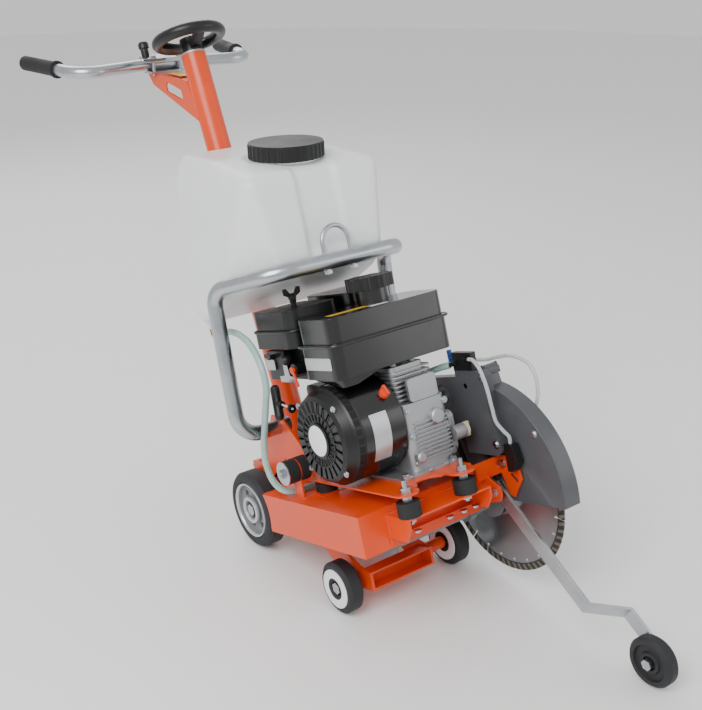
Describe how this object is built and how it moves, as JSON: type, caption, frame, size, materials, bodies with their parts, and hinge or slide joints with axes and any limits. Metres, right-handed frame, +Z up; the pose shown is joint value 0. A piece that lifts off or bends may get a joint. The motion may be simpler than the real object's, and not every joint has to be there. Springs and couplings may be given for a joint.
{
  "type": "walk-behind concrete floor saw",
  "caption": "Push-along petrol floor saw: belt-driven blade in a two-part guard, depth screw and swing axle, water tank, tube frame, handlebar and folding guide wheel.",
  "frame": {"origin": "on the ground under the middle of the machine's length, in the plane of the column", "axes": "+Z up; -Y the way the saw travels when it cuts; +X towards the blade side, the operator's left seen from the front"},
  "size_m": [0.5592, 1.6855, 1.0742],
  "materials": {
    "orange_paint": "satin",
    "zinc": "satin",
    "grey_paint": "satin",
    "rubber": "matte",
    "tank_plastic": "satin",
    "black_plastic": "satin",
    "brass": "satin",
    "hose_clear": "gloss",
    "cast_alloy": "cast",
    "engine_black": "satin",
    "blade_steel": "ground",
    "tyre": "matte",
    "hub_grey": "satin",
    "tap_blue": "gloss",
    "signal_orange": "gloss",
    "plug_cream": "matte",
    "cast_grey": "cast"
  },
  "bodies": {
    "machine": {"chassis": "orange_paint", "engine_plate": "orange_paint", "rubber_mounts": "rubber", "mount_studs": "zinc", "handle_frame": "orange_paint", "tube_frame": "zinc", "lifting_eye": "zinc", "water_tank": "tank_plastic", "tank_outlet": "brass", "water_hose": "hose_clear", "water_valve": "black_plastic", "inner_spray_hose": "hose_clear", "outer_spray_hose": "hose_clear", "spray_nozzles": "black_plastic", "handlebar": "zinc", "right_grip": "rubber", "left_grip": "rubber", "bar_clamp": "zinc", "m8_bolts": "zinc", "column_bearing": "cast_alloy", "axle_pins": "zinc", "crankcase": "cast_alloy", "blower_housing": "engine_black", "recoil_cover": "black_plastic", "fuel_tank": "black_plastic", "carburettor": "engine_black", "air_cleaner": "black_plastic", "muffler": "engine_black", "oil_plug": "plug_cream", "drive_belt": "rubber", "belt_guard": "grey_paint", "rear_guard": "grey_paint", "bearing_housing": "cast_grey"},
    "swing_axle": {"swing_frame": "orange_paint", "front_axle_bolts": "zinc"},
    "front_wheel_r": {"right_front_wheel": "tyre"},
    "front_wheel_l": {"left_front_wheel": "tyre"},
    "rear_wheel_r": {"right_rear_tyre": "tyre", "right_rear_hub": "hub_grey"},
    "rear_wheel_l": {"left_rear_tyre": "tyre", "left_rear_hub": "hub_grey"},
    "depth_wheel": {"handwheel": "black_plastic", "lead_screw": "zinc"},
    "depth_rod": {"push_rod": "zinc"},
    "crank": {"crankshaft": "zinc", "flywheel_fan": "cast_alloy", "engine_pulley": "cast_grey"},
    "spindle": {"blade_shaft": "zinc", "blade_pulley": "cast_grey", "blade_flanges": "zinc", "saw_blade": "blade_steel"},
    "tank_cap": {"water_cap": "black_plastic"},
    "petrol_cap": {"fuel_cap": "black_plastic"},
    "tap": {"valve_knob": "tap_blue"},
    "starter": {"starter_grip": "black_plastic"},
    "throttle": {"throttle_lever": "signal_orange"},
    "stop_switch": {"engine_switch": "signal_orange"},
    "guard_flap": {"front_guard": "grey_paint"},
    "guide": {"guide_arm": "zinc"},
    "guide_roller": {"guide_wheel": "tyre"}
  },
  "joints": [
    {"name": "swing_axle_lift", "type": "hinge", "parent": "machine", "child": "swing_axle", "pos_m": [0, -0.10647, 0.10177], "axis": [-1, 0, 0], "range_deg": [0, 35]},
    {"name": "depth_rod_slide", "type": "slide", "parent": "machine", "child": "depth_rod", "axis": [0, -0.4462, -0.8949], "range_m": [0, 0.086]},
    {"name": "depth_wheel_turn", "type": "hinge", "parent": "machine", "child": "depth_wheel", "pos_m": [0, 0.48525, 0.9947], "axis": [0, 0.4462, 0.8949], "range_deg": [0, 7570]},
    {"name": "front_wheel_r_spin", "type": "hinge", "parent": "swing_axle", "child": "front_wheel_r", "pos_m": [0, -0.27924, 0.05398], "axis": [1, 0, 0], "continuous": true},
    {"name": "front_wheel_l_spin", "type": "hinge", "parent": "swing_axle", "child": "front_wheel_l", "pos_m": [0, -0.27924, 0.05398], "axis": [1, 0, 0], "continuous": true},
    {"name": "rear_wheel_r_spin", "type": "hinge", "parent": "machine", "child": "rear_wheel_r", "pos_m": [0, 0.02595, 0.0855], "axis": [1, 0, 0], "continuous": true},
    {"name": "rear_wheel_l_spin", "type": "hinge", "parent": "machine", "child": "rear_wheel_l", "pos_m": [0, 0.02595, 0.0855], "axis": [1, 0, 0], "continuous": true},
    {"name": "blade_spin", "type": "hinge", "parent": "machine", "child": "spindle", "pos_m": [0.207, -0.36975, 0.20292], "axis": [1, 0, 0], "continuous": true},
    {"name": "crank_spin", "type": "hinge", "parent": "machine", "child": "crank", "pos_m": [0, -0.22472, 0.37042], "axis": [1, 0, 0], "continuous": true},
    {"name": "guard_flap_lift", "type": "hinge", "parent": "machine", "child": "guard_flap", "pos_m": [0.207, -0.30911, 0.45434], "axis": [-1, 0, 0], "range_deg": [0, 75]},
    {"name": "guide_arm_lift", "type": "hinge", "parent": "machine", "child": "guide", "pos_m": [0.15, -0.41827, 0.24505], "axis": [-1, 0, 0], "range_deg": [0, 135]},
    {"name": "guide_roller_spin", "type": "hinge", "parent": "guide", "child": "guide_roller", "pos_m": [0.202, -0.7897, 0.049], "axis": [1, 0, 0], "continuous": true},
    {"name": "fuel_cap_turn", "type": "hinge", "parent": "machine", "child": "petrol_cap", "pos_m": [0.038, -0.13485, 0.6144], "axis": [0, 0.342, 0.9397], "range_deg": [0, 90]},
    {"name": "water_cap_turn", "type": "hinge", "parent": "machine", "child": "tank_cap", "pos_m": [0, 0.10375, 0.83723], "axis": [0, 0.0698, 0.9976], "range_deg": [0, 360]},
    {"name": "tap_turn", "type": "hinge", "parent": "machine", "child": "tap", "pos_m": [0.171, -0.24357, 0.46773], "axis": [0, 0.9397, -0.342], "range_deg": [0, 90]},
    {"name": "stop_switch_turn", "type": "hinge", "parent": "machine", "child": "stop_switch", "pos_m": [-0.034, -0.27372, 0.45529], "axis": [0, -0.5, 0.866], "range_deg": [0, 60]},
    {"name": "throttle_turn", "type": "hinge", "parent": "machine", "child": "throttle", "pos_m": [-0.121, -0.08911, 0.4594], "axis": [1, 0, 0], "range_deg": [-20, 20]},
    {"name": "starter_pull", "type": "slide", "parent": "machine", "child": "starter", "axis": [0, 0.9848, -0.174], "range_m": [0, 0.5], "stiffness_N_per_m": 20}
  ],
  "couplings": [
    {"joint": "depth_rod_slide", "follows": "swing_axle_lift", "m_per_rad": 0.13725},
    {"joint": "depth_wheel_turn", "follows": "swing_axle_lift", "ratio": 216},
    {"joint": "crank_spin", "follows": "blade_spin", "ratio": 1.2533}
  ]
}
